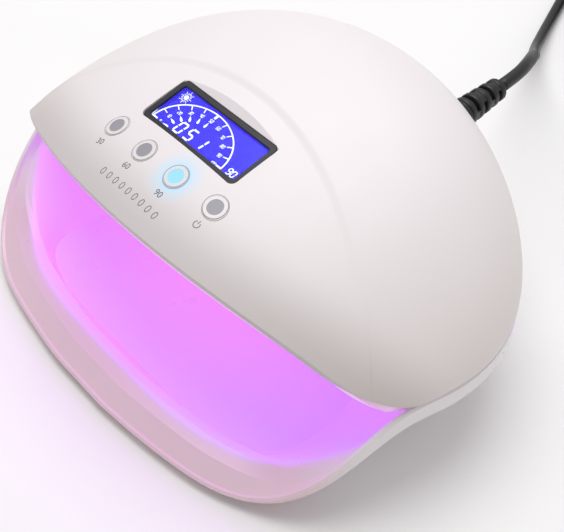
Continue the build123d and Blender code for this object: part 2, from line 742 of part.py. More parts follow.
PLUG_DIRECTION = (0.12, -0.993, 0)
PLUG_LENGTH = 36.0
PLUG_WIDTH = 26.0
PLUG_THICKNESS = 13.6
PIN_RADIUS = 2.0
PIN_LENGTH = 19.0
PIN_PITCH = 18.6
plug_plane = Plane(TAIL[-1], x_dir=(0.993, 0.12, 0), z_dir=PLUG_DIRECTION)
with BuildPart() as plug_body:
    with BuildSketch(plug_plane):
        RectangleRounded(9, 9, 4.2)
    with BuildSketch(plug_plane.offset(0.45 * PLUG_LENGTH)):
        RectangleRounded(15, 11, 4.5)
    with BuildSketch(plug_plane.offset(0.7 * PLUG_LENGTH)):
        RectangleRounded(PLUG_WIDTH - 1, PLUG_THICKNESS - 0.6, 5)
    with BuildSketch(plug_plane.offset(PLUG_LENGTH)):
        RectangleRounded(PLUG_WIDTH, PLUG_THICKNESS, 5)
    loft()
finish(plug_body, "plug_body")

with BuildPart() as plug_pins:
    with BuildSketch(plug_plane.offset(PLUG_LENGTH)):
        with GridLocations(PIN_PITCH, 1, 2, 1):
            Circle(PIN_RADIUS)
    extrude(amount=PIN_LENGTH)
    chamfer(plug_pins.faces().sort_by(Axis(TAIL[-1], PLUG_DIRECTION))[-2:].edges(), 0.5)
finish(plug_pins, "plug_pins")
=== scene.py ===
import json
import math

import bpy
from mathutils import Matrix, Vector
from mathutils.bvhtree import BVHTree


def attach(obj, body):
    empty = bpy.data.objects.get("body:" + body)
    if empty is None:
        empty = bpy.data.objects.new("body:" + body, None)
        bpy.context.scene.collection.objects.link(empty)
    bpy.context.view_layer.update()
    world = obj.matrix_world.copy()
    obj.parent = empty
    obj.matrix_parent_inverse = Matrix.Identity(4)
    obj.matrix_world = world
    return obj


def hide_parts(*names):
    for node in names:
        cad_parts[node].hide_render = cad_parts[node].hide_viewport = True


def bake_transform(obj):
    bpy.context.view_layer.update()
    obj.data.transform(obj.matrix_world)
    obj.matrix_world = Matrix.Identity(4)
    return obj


# UV LED nail lamp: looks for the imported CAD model. Metres, +Z up, floor at z = 0, front towards -Y.

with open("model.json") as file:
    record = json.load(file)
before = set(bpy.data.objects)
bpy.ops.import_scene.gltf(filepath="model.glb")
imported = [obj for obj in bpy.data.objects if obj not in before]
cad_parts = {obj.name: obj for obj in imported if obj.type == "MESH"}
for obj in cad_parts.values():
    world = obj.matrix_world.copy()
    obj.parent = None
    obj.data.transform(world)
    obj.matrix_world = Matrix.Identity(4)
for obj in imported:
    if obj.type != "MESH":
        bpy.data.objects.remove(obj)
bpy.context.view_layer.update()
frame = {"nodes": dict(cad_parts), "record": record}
NODES = frame["nodes"]
MM = 0.001


# ---- node materials -------------------------------------------------------------------------
class Look:
    """A Principled material and short ways to add nodes to it."""

    def __init__(self, name, colour, roughness, **sockets):
        self.material = bpy.data.materials.new(name)
        self.material.use_nodes = True
        self.tree = self.material.node_tree
        self.shader = self.tree.nodes["Principled BSDF"]
        self.shader.inputs["Base Color"].default_value = (*colour, 1)
        self.shader.inputs["Roughness"].default_value = roughness
        for socket, value in sockets.items():
            self.shader.inputs[socket.replace("_", " ")].default_value = value

    def node(self, kind, **settings):
        made = self.tree.nodes.new(kind)
        for key, value in settings.items():
            if key in made.inputs:
                made.inputs[key].default_value = value
            else:
                setattr(made, key, value)
        return made

    def link(self, output, target):
        self.tree.links.new(output, target)

    def position(self):
        return self.node("ShaderNodeTexCoord").outputs["Object"]

    def noise(self, scale, detail=3.0, roughness=0.5):
        made = self.node("ShaderNodeTexNoise", Scale=scale, Detail=detail, Roughness=roughness)
        self.link(self.position(), made.inputs["Vector"])
        return made.outputs["Fac"]

    def ramp(self, value, stops, smooth=False):
        made = self.node("ShaderNodeValToRGB")
        if smooth:
            made.color_ramp.interpolation = "EASE"
        bar = made.color_ramp.elements
        while len(bar) < len(stops):
            bar.new(0.5)
        for stop, (place, colour) in zip(bar, stops):
            stop.position = place
            stop.color = (*colour, 1) if len(colour) == 3 else colour
        self.link(value, made.inputs["Fac"])
        return made.outputs["Color"]

    def mix(self, factor, first, second, blend="MIX"):
        made = self.node("ShaderNodeMix", data_type="RGBA", blend_type=blend)
        for socket, value in ((made.inputs[0], factor), (made.inputs[6], first), (made.inputs[7], second)):
            if isinstance(value, bpy.types.NodeSocket):
                self.link(value, socket)
            elif isinstance(value, tuple):
                socket.default_value = (*value, 1)
            else:
                socket.default_value = value
        return made.outputs[2]

    def math(self, operation, first, second=0.0, clamp=False):
        made = self.node("ShaderNodeMath", operation=operation, use_clamp=clamp)
        for socket, value in zip(made.inputs, (first, second)):
            if isinstance(value, bpy.types.NodeSocket):
                self.link(value, socket)
            else:
                socket.default_value = value
        return made.outputs[0]

    def line(self, value, slope, offset, clamp=False):
        """Slope times the value, plus the offset."""
        made = self.node("ShaderNodeMath", operation="MULTIPLY_ADD", use_clamp=clamp)
        self.link(value, made.inputs[0])
        made.inputs[1].default_value = slope
        made.inputs[2].default_value = offset
        return made.outputs[0]

    def axes(self):
        """X, Y and Z of the place being shaded."""
        made = self.node("ShaderNodeSeparateXYZ")
        self.link(self.position(), made.inputs[0])
        return made.outputs

    def distance(self, centre, level=False):
        """Distance from a centre, in plan only where level is set."""
        place = self.position()
        if level:
            flattened = self.node("ShaderNodeVectorMath", operation="MULTIPLY")
            self.link(place, flattened.inputs[0])
            flattened.inputs[1].default_value = (1, 1, 0)
            place = flattened.outputs[0]
        made = self.node("ShaderNodeVectorMath", operation="DISTANCE")
        self.link(place, made.inputs[0])
        made.inputs[1].default_value = centre
        return made.outputs["Value"]

    def bump(self, height, strength, distance):
        made = self.node("ShaderNodeBump", Strength=strength, Distance=distance)
        self.link(height, made.inputs["Height"])
        self.link(made.outputs["Normal"], self.shader.inputs["Normal"])

    def set(self, socket, output):
        self.link(output, self.shader.inputs[socket])


def moulded(name, colour, roughness, grain=900.0, strength=0.05, spread=0.04, **sockets):
    """Moulded plastic or rubber: a faint drift of colour and gloss, and a fine spark-eroded grain."""
    look = Look(name, colour, roughness, **sockets)
    drift = look.noise(14.0, 2.0)
    darker = tuple(max(value * (1 - spread), 0) for value in colour)
    lighter = tuple(min(value * (1 + spread), 1) for value in colour)
    look.set("Base Color", look.ramp(drift, [(0.35, darker), (0.65, lighter)]))
    low, high = max(roughness - 0.04, 0), min(roughness + 0.05, 1)
    look.set("Roughness", look.ramp(look.noise(60.0), [(0.3, (low,) * 3), (0.7, (high,) * 3)]))
    look.bump(look.noise(grain, 2.0), strength, 0.0002)
    return look


def metal(name, colour, roughness, grain=1500.0):
    """Plated metal with fine turning or drawing marks."""
    look = Look(name, colour, roughness, Metallic=1.0)
    marks = look.noise(grain, 4.0)
    stops = [(0.3, (roughness * 0.7,) * 3), (0.7, (roughness * 1.4,) * 3)]
    look.set("Roughness", look.ramp(marks, stops))
    look.bump(marks, 0.04, 0.0001)
    return look


def glowing(look, colour, strength):
    look.shader.inputs["Emission Color"].default_value = (*colour, 1)
    look.shader.inputs["Emission Strength"].default_value = strength
    return look


WHITE = (1, 1, 1)
BLACK = (0, 0, 0)
# Painted shade: the shell's colour runs from the top colour down to a darker, warmer one at the bottom.
SHELL_HIGH = (0.89, 0.845, 0.87)
SHELL_LOW_PAINTED_SHADE = (0.82, 0.765, 0.745)
# Painted shade: between these radii the shell is drawn greyer towards its front edge.
BROW_SHADE = (0.72, 0.71, 0.70)
BROW_CENTRE = (0, 0.1677, 0)        # in plan, of the arc that the front edge follows
BROW_REACH = (0.205, 0.230)         # radii between which the shell darkens towards its front edge
# Painted glow of the lit key's light on the shell:
LIT_KEY = (0.0097, -0.0399, 0.0850)
HALO_REACH = (0.0045, 0.0098)


def shell_look():
    """Warm white satin shell with painted shade, darker towards the bottom and greyer towards its edges, and
    a painted glow where the lit key shines through.
    """
    look = Look("shell_plastic", (0.83, 0.79, 0.78), 0.45, Coat_Weight=0.06, Coat_Roughness=0.35)
    # Painted shade: the colour darkens and warms with falling height.
    height = look.line(look.axes()["Z"], 17.0, -0.72)
    painted_height_shade = look.ramp(height, [(0.0, SHELL_LOW_PAINTED_SHADE), (1.0, SHELL_HIGH)], smooth=True)
    tint = look.ramp(look.noise(9.0, 2.0), [(0.35, (0.985, 0.975, 0.98)), (0.65, WHITE)])
    # Painted shade: greyer towards the front edge, where the rounded shell turns away from the light.
    brow = look.distance(BROW_CENTRE, level=True)
    shade = look.ramp(brow, [(BROW_REACH[0], WHITE), (BROW_REACH[1], BROW_SHADE)], smooth=True)
    plastic = look.mix(1.0, look.mix(1.0, painted_height_shade, tint, "MULTIPLY"), shade, "MULTIPLY")
    # Painted glow: blue colour and emission round the lit key stand in for its light on the shell.
    halo = look.ramp(look.distance(LIT_KEY), [(HALO_REACH[0], WHITE), (HALO_REACH[1], BLACK)], smooth=True)
    look.set("Base Color", look.mix(halo, plastic, (0.50, 0.74, 0.90)))
    look.set("Emission Color", look.mix(halo, BLACK, (0.10, 0.20, 0.30)))
    look.shader.inputs["Emission Strength"].default_value = 0.5
    look.set("Roughness", look.ramp(look.noise(70.0), [(0.3, (0.42,) * 3), (0.7, (0.50,) * 3)]))
    look.bump(look.noise(1400.0, 2.0), 0.035, 0.0002)
    return look


# Painted light: the glow, its colours and the lit colour stand in for the modules' light falling on the
# tray.
TRAY_PAINTED_GLOW = 0.46
# Painted spill light and shade: the apron's pink-grey tint stands for indirect light from the modules.
APRON_PAINTED_SPILL = (0.96, 0.78, 0.82)
PAINTED_LIT_TRAY = (0.66, 0.55, 0.84)
PINK_GLOW = (0.98, 0.12, 0.85)      # at the left
VIOLET_GLOW = (0.46, 0.12, 1.0)     # at the right
RIDGE_LINE = -0.0705                # y of the ridge behind the apron, on the centre line
RIDGE_HALF_WIDTH = 0.092
RIDGE_BOW = 0.022                   # how far the ridge's ends lie behind its middle
GLOW_HALF_WIDTH = 0.1085
APRON_START = -0.040                # y in front of which the apron's tint comes in
GLOW_STOPS = [
    (0.0, (0.0,) * 3),
    (0.38, (0.04,) * 3),
    (0.47, (0.20,) * 3),
    (0.56, (0.95,) * 3),
    (1.0, (0.85,) * 3),
]


def tray_look():
    """White tray with painted light: a painted glow and lit colour behind its ridge, where the modules light
    it up, and a painted pink spill on the bare apron in front.
    """
    look = Look("tray_plastic", (0.84, 0.79, 0.82), 0.30, Coat_Weight=0.12, Coat_Roughness=0.25)
    axes = look.axes()
    across = look.math("ABSOLUTE", axes["X"])
    share = look.math("MULTIPLY", across, 1 / RIDGE_HALF_WIDTH)
    bow = look.math("MULTIPLY", look.math("POWER", share, 3.5), RIDGE_BOW)
    behind = look.math("SUBTRACT", look.math("SUBTRACT", axes["Y"], bow), RIDGE_LINE)
    inside = look.ramp(look.line(behind, 50.0, 0.5), GLOW_STOPS)
    facing = look.node("ShaderNodeSeparateXYZ")
    look.link(look.node("ShaderNodeNewGeometry").outputs["Normal"], facing.inputs[0])
    upward = look.math("MULTIPLY", look.math("ADD", facing.outputs["Z"], 0.15), 4.0, clamp=True)
    rim = look.math("MULTIPLY", look.math("SUBTRACT", GLOW_HALF_WIDTH, across), 250.0, clamp=True)
    # Painted glow: emission on upward faces behind the ridge, for the modules' light on the tray's floor.
    glow = look.math("MULTIPLY", look.math("MULTIPLY", inside, upward), rim)
    look.set("Emission Color", look.mix(look.line(axes["X"], 5.0, 0.75, clamp=True), PINK_GLOW, VIOLET_GLOW))
    look.set("Emission Strength", look.math("MULTIPLY", glow, TRAY_PAINTED_GLOW))
    look.set("Roughness", look.ramp(look.noise(70.0), [(0.3, (0.27,) * 3), (0.7, (0.34,) * 3)]))
    tint = look.ramp(look.noise(9.0, 2.0), [(0.35, (0.82, 0.77, 0.80)), (0.65, (0.85, 0.81, 0.83))])
    # Painted spill light: the apron is drawn pinker and greyer in front of APRON_START.
    front = look.math("MULTIPLY", look.math("SUBTRACT", APRON_START, axes["Y"]), 60.0, clamp=True)
    plain = look.mix(1.0, tint, look.mix(front, WHITE, APRON_PAINTED_SPILL), "MULTIPLY")
    look.set("Base Color", look.mix(glow, plain, PAINTED_LIT_TRAY))
    look.bump(look.noise(1200.0, 2.0), 0.03, 0.0002)
    return look


def board_look():
    """Green circuit board with tracks showing through the lacquer."""
    look = Look("board_laminate", (0.03, 0.16, 0.07), 0.35, Coat_Weight=0.5)
    tracks = look.node("ShaderNodeTexBrick", Scale=260.0)
    look.link(look.position(), tracks.inputs["Vector"])
    tracks.inputs["Color1"].default_value = (0.02, 0.13, 0.05, 1)
    tracks.inputs["Color2"].default_value = (0.03, 0.17, 0.07, 1)
    tracks.inputs["Mortar"].default_value = (0.08, 0.30, 0.14, 1)
    tracks.inputs["Mortar Size"].default_value = 0.03
    look.set("Base Color", tracks.outputs["Color"])
    look.bump(look.noise(700.0), 0.05, 0.0001)
    return look


shell = shell_look()
tray = tray_look()
liner = moulded("liner_plastic", (0.90, 0.80, 0.90), 0.25)
# Painted glow: the liner's emission stands in for the modules' light inside the dome.
glowing(liner, (0.80, 0.16, 0.75), 0.20)
cord_look = moulded("cord_rubber", (0.012, 0.012, 0.014), 0.42, grain=1600.0, strength=0.08, spread=0.2)
LOOKS = {
    "tray_plastic": tray,
    "shell_plastic": shell,
    "liner_plastic": liner,
    "foot_rubber": moulded("foot_rubber", (0.05, 0.05, 0.05), 0.75, grain=500.0, strength=0.2),
    "magnet_metal": metal("magnet_metal", (0.72, 0.72, 0.74), 0.18),
    "keeper_steel": metal("keeper_steel", (0.55, 0.55, 0.56), 0.30),
    "screw_steel": metal("screw_steel", (0.50, 0.50, 0.51), 0.28),
    "border_plastic": moulded("border_plastic", (0.018, 0.017, 0.024), 0.28, spread=0.1),
    "backlight_plastic": moulded("backlight_plastic", (0.70, 0.74, 0.85), 0.5),
    "board_laminate": board_look(),
    "retainer_plastic": moulded("retainer_plastic", (0.02, 0.02, 0.022), 0.55),
    "switch_plastic": moulded("switch_plastic", (0.02, 0.02, 0.022), 0.45),
    "led_resin": glowing(moulded("led_resin", (0.6, 0.8, 0.95), 0.2), (0.55, 0.8, 1.0), 0.6),
    "transformer_tape": moulded("transformer_tape", (0.62, 0.40, 0.05), 0.35, spread=0.12),
    "capacitor_sleeve": moulded("capacitor_sleeve", (0.03, 0.035, 0.09), 0.3),
    "ribbon_plastic": moulded("ribbon_plastic", (0.60, 0.60, 0.62), 0.45),
    "cord_rubber": cord_look,
    "lead_sheath": moulded("lead_sheath", (0.02, 0.02, 0.02), 0.55),
    "tie_plastic": moulded("tie_plastic", (0.02, 0.02, 0.022), 0.5, grain=600.0, strength=0.15),
    "plug_plastic": moulded("plug_plastic", (0.016, 0.016, 0.018), 0.4, spread=0.15),
    "pin_brass": metal("pin_brass", (0.78, 0.75, 0.68), 0.2),
    "key_plastic": moulded("key_plastic", (0.84, 0.81, 0.82), 0.35, Coat_Weight=0.2),
    "disc_clear": moulded("disc_clear", (0.37, 0.35, 0.40), 0.38, spread=0.06),
    "disc_lit": glowing(moulded("disc_lit", (0.20, 0.42, 0.85), 0.35), (0.22, 0.52, 1.0), 0.75),
    "plunger_plastic": moulded("plunger_plastic", (0.03, 0.03, 0.032), 0.5),
}


def lens_look():
    """Clear domed LED lens over a lit violet chip."""
    look = Look("led_lens", (0.80, 0.70, 1.0), 0.12, Coat_Weight=0.6)
    spot = look.noise(300.0, 2.0)
    look.set("Base Color", look.ramp(spot, [(0.3, (0.62, 0.50, 0.95)), (0.7, (0.85, 0.78, 1.0))]))
    return glowing(look, (0.50, 0.22, 1.0), 2.2)


def glass_look():
    """Thin clear window with a trace of dust in its gloss."""
    look = Look("window_glass", (0.96, 0.97, 1.0), 0.03, IOR=1.35)
    look.shader.inputs["Transmission Weight"].default_value = 1.0
    look.set("Roughness", look.ramp(look.noise(90.0), [(0.4, (0.015,) * 3), (0.7, (0.05,) * 3)]))
    return look


def picture_look():
    """The lit blue field of the display, a little deeper towards its edges."""
    look = Look("lcd_glass", (0.01, 0.008, 0.10), 0.25)
    offset = look.math("MULTIPLY", look.math("ABSOLUTE", look.axes()["X"]), 32.0)
    blue = look.ramp(offset, [(0.0, (0.020, 0.004, 0.95)), (1.0, (0.014, 0.003, 0.80))], smooth=True)
    cells = look.ramp(look.noise(1800.0, 1.0), [(0.3, (0.02, 0.01, 0.6)), (0.7, (0.1, 0.06, 1.0))])
    look.set("Emission Color", look.mix(0.05, blue, cells))
    look.shader.inputs["Emission Strength"].default_value = 1.05
    return look


LOOKS["led_lens"] = lens_look()
LOOKS["window_glass"] = glass_look()
LOOKS["lcd_glass"] = picture_look()

for row in frame["record"]["subparts"]:
    node = NODES[row["node"]]
    node.data.materials.clear()
    node.data.materials.append(LOOKS[row["material_slot"]].material)
    for face in node.data.polygons:
        face.material_index = 0


# ---- camera and stage -----------------------------------------------------------------------
def camera():
    data = bpy.data.cameras.new("camera")
    made = bpy.data.objects.new("camera", data)
    bpy.context.scene.collection.objects.link(made)
    right = Vector((0.6211, 0.7836, -0.0138))
    up = Vector((-0.5198, 0.4251, 0.7411))
    back = right.cross(up).normalized()
    right = up.cross(back).normalized()
    turn = Matrix((right, up, back)).transposed().to_4x4()
    made.matrix_world = Matrix.Translation((0.30584, -0.22348, 0.35672)) @ turn
    data.lens = 81.72
    data.sensor_width = 36.0
    data.clip_start = 0.01
    bpy.context.scene.camera = made
    bpy.context.scene.view_settings.view_transform = "Standard"


def area_light(name, place, target, size, power, colour=(1, 1, 1)):
    data = bpy.data.lights.new(name, "AREA")
    data.shape = "DISK"
    data.size = size
    data.energy = power
    data.color = colour
    made = bpy.data.objects.new(name, data)
    bpy.context.scene.collection.objects.link(made)
    made.location = place
    made.rotation_euler = (Vector(target) - Vector(place)).to_track_quat("-Z", "Y").to_euler()
    made.visible_camera = False


WORLD = 0.50
FLOOR_REACH = 3.0


def stage():
    world = bpy.data.worlds.new("soft_white")
    bpy.context.scene.world = world
    world.use_nodes = True
    background = world.node_tree.nodes["Background"].inputs
    background["Color"].default_value = (1.0, 0.985, 0.985, 1)
    background["Strength"].default_value = WORLD
    mesh = bpy.data.meshes.new("floor")
    reach = FLOOR_REACH
    corners = [(-reach, -reach, 0), (reach, -reach, 0), (reach, reach, 0), (-reach, reach, 0)]
    mesh.from_pydata(corners, [], [(0, 1, 2, 3)])
    floor = bpy.data.objects.new("floor", mesh)
    bpy.context.scene.collection.objects.link(floor)
    paper = moulded("floor_paper", (0.93, 0.925, 0.925), 0.75, grain=300.0, strength=0.02, spread=0.005)
    mesh.materials.append(paper.material)
    area_light("key_light", (-0.26, 0.24, 1.35), (0, 0, 0.04), 1.35, 13.0)
    area_light("cavity_light", (0, -0.012, 0.062), (0, -0.012, 0.004), 0.08, 0.010, (1.0, 0.22, 0.95))


camera()
stage()


# ---- shared makers --------------------------------------------------------------------------
def piece(name, vertices, faces, look, body, smooth=True):
    """A mesh piece with one look that rides on a body."""
    mesh = bpy.data.meshes.new(name)
    mesh.from_pydata([tuple(v) for v in vertices], [], faces)
    mesh.validate()
    mesh.materials.append(look.material)
    if smooth:
        mesh.shade_smooth()
    made = bpy.data.objects.new(name, mesh)
    bpy.context.scene.collection.objects.link(made)
    if body:
        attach(made, body)
    return made


def skin(rings, sides, reverse=False):
    """Faces of a closed solid through equal rings, with both ends capped."""
    faces = []
    for ring in range(rings - 1):
        for side in range(sides):
            a, b = ring * sides + side, ring * sides + (side + 1) % sides
            faces.append((a, b, b + sides, a + sides))
    faces.append(tuple(range(sides - 1, -1, -1)))
    last = (rings - 1) * sides
    faces.append(tuple(range(last, last + sides)))
    if reverse:
        faces = [(face[0], *reversed(face[1:])) for face in faces]
    return faces


def sweep(points, radius, sides):
    """Closed tube round a line of points."""
    points = [Vector(p) for p in points]
    normal = (points[1] - points[0]).normalized().orthogonal().normalized()
    vertices = []
    for index, point in enumerate(points):
        before = points[max(index - 1, 0)]
        after = points[min(index + 1, len(points) - 1)]
        tangent = (after - before).normalized()
        normal = (normal - tangent * normal.dot(tangent)).normalized()
        binormal = tangent.cross(normal)
        for side in range(sides):
            angle = 2 * math.pi * side / sides
            vertices.append(point + (normal * math.cos(angle) + binormal * math.sin(angle)) * radius)
    return vertices, skin(len(points), sides)


# ---- cord -----------------------------------------------------------------------------------
CORD_RADIUS = 0.0027
BOOT_TIP = (0.024525, 0.10485, 0.067)
ROUTE = [
    (0.02285, 0.11678, 0.0670),
    (0.0172, 0.1294, 0.0648),
    (0.0079, 0.1431, 0.0578),
    (-0.0046, 0.1591, 0.0451),
    (-0.0215, 0.1800, 0.0277),
    (-0.0397, 0.2016, 0.0127),
    (-0.0523, 0.2210, 0.0065),
    (-0.0622, 0.2382, 0.0038),
    (-0.0711, 0.2550, 0.0032),
    (-0.0807, 0.2735, 0.0033),
]
TAIL = [(-0.0116, 0.3154, 0.0089), (-0.0085, 0.2993, 0.0080), (-0.0069, 0.2828, 0.0069)]
COIL_CENTRE = (-0.0520, 0.3083)
COIL_MIDDLE = 0.0354
COIL_PITCH = 0.0056
COIL_LOW = 0.0033
ENTRY, EXIT = 205.0, 10.0           # degrees round the coil's centre
TURNS = 5 + (ENTRY - EXIT) / 360
PER_TURN = 24


def step_between(turn, starts):
    """How many of the moves have been made, each spread over a quarter of a turn."""
    made = 0.0
    for start in starts:
        part = min(max((turn - start) / 0.25, 0), 1)
        made += part * part * (3 - 2 * part)
    return made


def coil_points():
    """Three turns side by side and inwards, a step up, and out again on top of them."""
    outer = COIL_MIDDLE + COIL_PITCH
    swell = 2 / (1 + math.cos(2 * math.pi / PER_TURN))
    steps = round(TURNS * PER_TURN)
    points = []
    for step in range(steps):
        turn = TURNS * step / steps
        rows = step_between(turn, (0.76, 1.76)) - step_between(turn, (3.35, 4.35))
        lift = step_between(turn, (2.58,))
        angle = math.radians(ENTRY - 360 * turn)
        reach = (outer - rows * COIL_PITCH) * (1 + (swell - 1) / 2)
        place = (COIL_CENTRE[0] + reach * math.cos(angle), COIL_CENTRE[1] + reach * math.sin(angle))
        points.append((*place, COIL_LOW + lift * COIL_PITCH))
    return points


def cord_line():
    """The cord's centreline as a curve, and the points read from it."""
    control = [BOOT_TIP, *ROUTE, *coil_points(), *TAIL]
    curve = bpy.data.curves.new("cord_line", "CURVE")
    curve.dimensions = "3D"
    curve.resolution_u = 8
    spline = curve.splines.new("NURBS")
    spline.points.add(len(control) - 1)
    for point, place in zip(spline.points, control):
        point.co = (*place, 1)
    spline.order_u = 3
    spline.use_endpoint_u = True
    line = bpy.data.objects.new("cord_line", curve)
    bpy.context.scene.collection.objects.link(line)
    bpy.context.view_layer.update()
    mesh = bpy.data.meshes.new_from_object(line)
    points = [tuple(vertex.co) for vertex in mesh.vertices]
    bpy.data.objects.remove(line)
    return points


cord_path = cord_line()
tube_vertices, tube_faces = sweep(cord_path, CORD_RADIUS, 16)
cord = piece("mains_cord", tube_vertices, tube_faces, cord_look, None)
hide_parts("cord_tube", "cord_tail", "cord_coil")
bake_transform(cord)

# ---- display picture ------------------------------------------------------------------------
class Sheet:
    """Flat outlines in millimetres on a plane, filled out to thin plates in one mesh."""

    def __init__(self, origin, normal, turn=0.0):
        across = Vector((0, 1, 0)).cross(normal).normalized()
        matrix = Matrix((across, normal.cross(across), normal)).transposed().to_4x4()
        self.place = Matrix.Translation(origin) @ matrix @ Matrix.Rotation(math.radians(turn), 4, "Z")
        self.vertices, self.faces = [], []

    def plate(self, outline, low, high):
        start, count = len(self.vertices), len(outline)
        for height in (low, high):
            for x, y in outline:
                self.vertices.append(self.place @ Vector((x * MM, y * MM, height * MM)))
        self.faces.append([start + i for i in reversed(range(count))])
        self.faces.append([start + count + i for i in range(count)])
        for i in range(count):
            j = (i + 1) % count
            self.faces.append([start + i, start + j, start + count + j, start + count + i])


def ellipse(centre, half_width, half_height, count=40, turn=0.0):
    points = []
    for step in range(count):
        angle = 2 * math.pi * step / count
        x, y = half_width * math.cos(angle), half_height * math.sin(angle)
        points.append((
            centre[0] + x * math.cos(turn) - y * math.sin(turn),
            centre[1] + x * math.sin(turn) + y * math.cos(turn),
        ))
    return points


def stroke(start, end, width_start, width_end=None):
    """Four corners of a straight stroke."""
    width_end = width_start if width_end is None else width_end
    run = Vector(end) - Vector(start)
    side = Vector((-run.y, run.x)).normalized()
    return [
        tuple(Vector(start) + side * width_start / 2)[:2],
        tuple(Vector(start) - side * width_start / 2)[:2],
        tuple(Vector(end) - side * width_end / 2)[:2],
        tuple(Vector(end) + side * width_end / 2)[:2],
    ]


SEGMENTS = {
    "0": "abcdef",
    "1": "bc",
    "2": "abged",
    "3": "abgcd",
    "4": "fgbc",
    "5": "afgcd",
    "6": "afgedc",
    "7": "abc",
    "8": "abcdefg",
    "9": "abcdfg",
}
CORNERS = {
    "a": ((0, 1), (1, 1)),
    "b": ((1, 1), (1, 0.5)),
    "c": ((1, 0.5), (1, 0)),
    "d": ((0, 0), (1, 0)),
    "e": ((0, 0), (0, 0.5)),
    "f": ((0, 0.5), (0, 1)),
    "g": ((0, 0.5), (1, 0.5)),
}


def segment_digit(sheet, digit, centre, width, height, line, low, high, slant=0.12):
    """A seven-segment digit made of short strokes."""
    for name in SEGMENTS[digit]:
        ends = []
        for x, y in CORNERS[name]:
            down = (y - 0.5) * height
            ends.append(Vector((centre[0] + (x - 0.5) * width + slant * down, centre[1] + down)))
        gap = (ends[1] - ends[0]).normalized() * line * 0.35
        sheet.plate(stroke(ends[0] + gap, ends[1] - gap, line), low, high)


def segment_number(sheet, text, centre, width, height, line, low, high, pitch=1.45):
    for index, digit in enumerate(text):
        shift = (index - (len(text) - 1) / 2) * width * pitch
        segment_digit(sheet, digit, (centre[0] + shift, centre[1]), width, height, line, low, high)


PICTURE_NORMAL = Vector((0, -math.sin(math.radians(16.5)), math.cos(math.radians(16.5))))
PICTURE_CENTRE = Vector((0, -0.0189, 0.0893))
INK = (-1.79, -1.66)                # heights of the lit figures below the housing's surface
DIAL = (-4.08, -7.94)
DIAL_SIZE = (20.9, 15.6)
SUN = (-21.3, 5.4)
SUN_RADIUS = 1.05
SUN_RAYS = 16
DIGITS = (("0", -10.9, -5.1), ("5", -5.0, -4.9), ("1", 1.3, -4.8))


def dial_point(mark, share):
    """Point for a mark from 0 to 100, at a share of the dial's size."""
    angle = math.pi * (1 - mark / 100)
    return (
        DIAL[0] + DIAL_SIZE[0] * share * math.cos(angle),
        DIAL[1] + DIAL_SIZE[1] * share * math.sin(angle),
    )


def display_figures():
    """Dial with marks and numbers, a fan of lit petals, a sun, and the time left."""
    sheet = Sheet(PICTURE_CENTRE, PICTURE_NORMAL)
    steps = 60
    for step in range(steps):
        a, b = 100 * step / steps, 100 * (step + 1) / steps
        band = [dial_point(a, 1.0), dial_point(b, 1.0), dial_point(b, 0.972), dial_point(a, 0.972)]
        sheet.plate(band, *INK)
    for mark in range(0, 101, 10):
        major = mark % 50 == 0
        width = 1.15 if major else 0.42
        sheet.plate(stroke(dial_point(mark, 0.985), dial_point(mark, 0.86), width, width * 0.85), *INK)
        segment_number(sheet, str(mark), dial_point(mark, 0.77), 0.62, 1.4, 0.17, *INK, pitch=1.6)
    for mark in range(0, 51, 10):
        tip, root = Vector(dial_point(mark, 0.69)), Vector(dial_point(mark, 0.53))
        run, side = (root - tip), (root - tip).orthogonal().normalized()
        outline = [tip, tip + run * 0.6 + side * 0.48, tip + run * 0.9 + side * 0.42, root]
        outline += [tip + run * 0.9 - side * 0.42, tip + run * 0.6 - side * 0.48]
        sheet.plate([tuple(point)[:2] for point in outline], *INK)
    for digit, x, y in DIGITS:
        segment_digit(sheet, digit, (x, y), 3.1, 5.0, 0.72, *INK, slant=0.16)
    segment_number(sheet, "90", (21.2, -6.5), 1.55, 2.6, 0.42, *INK)
    sheet.plate(ellipse(SUN, SUN_RADIUS, SUN_RADIUS, 24), *INK)
    for ray in range(SUN_RAYS):
        angle = 2 * math.pi * ray / SUN_RAYS
        reach = 2.2 if ray % 2 else 2.9
        inner = (SUN[0] + 1.5 * math.cos(angle), SUN[1] + 1.5 * math.sin(angle))
        outer = (SUN[0] + reach * math.cos(angle), SUN[1] + reach * math.sin(angle))
        sheet.plate(stroke(inner, outer, 0.26, 0.14), *INK)
    return sheet


figure_look = glowing(moulded("display_figures", (0.8, 0.85, 1.0), 0.4), (0.86, 0.90, 1.0), 0.95)
figures = display_figures()
piece("display_figures", figures.vertices, figures.faces, figure_look, "housing", smooth=False)

# ---- print on the housing -------------------------------------------------------------------
shell_node = NODES["top_shell"]
shell_tree = BVHTree.FromPolygons(
    [vertex.co.copy() for vertex in shell_node.data.vertices],
    [tuple(face.vertices) for face in shell_node.data.polygons],
)
PRINT = (-0.05, 0.05)               # lowest and highest side of the print about the surface
print_look = moulded("grey_print", (0.16, 0.15, 0.155), 0.5, spread=0.1)
ring_look = moulded("key_ring_print", (0.24, 0.22, 0.24), 0.5, spread=0.1)
KEY_PLACES = {"30": (-30.1, -38.2), "60": (-9.7, -39.9), "90": (9.7, -39.9), "on": (30.1, -38.2)}


KEY_RING = (4.85, 5.03)             # inner and outer radius
FORESHORTEN = 0.94                  # a round ring on the tilted face, seen in plan


def surface(x, y):
    """Point and normal of the housing straight below a plan position in millimetres."""
    spot, normal, _, _ = shell_tree.ray_cast(Vector((x * MM, y * MM, 0.2)), Vector((0, 0, -1)))
    return spot, normal


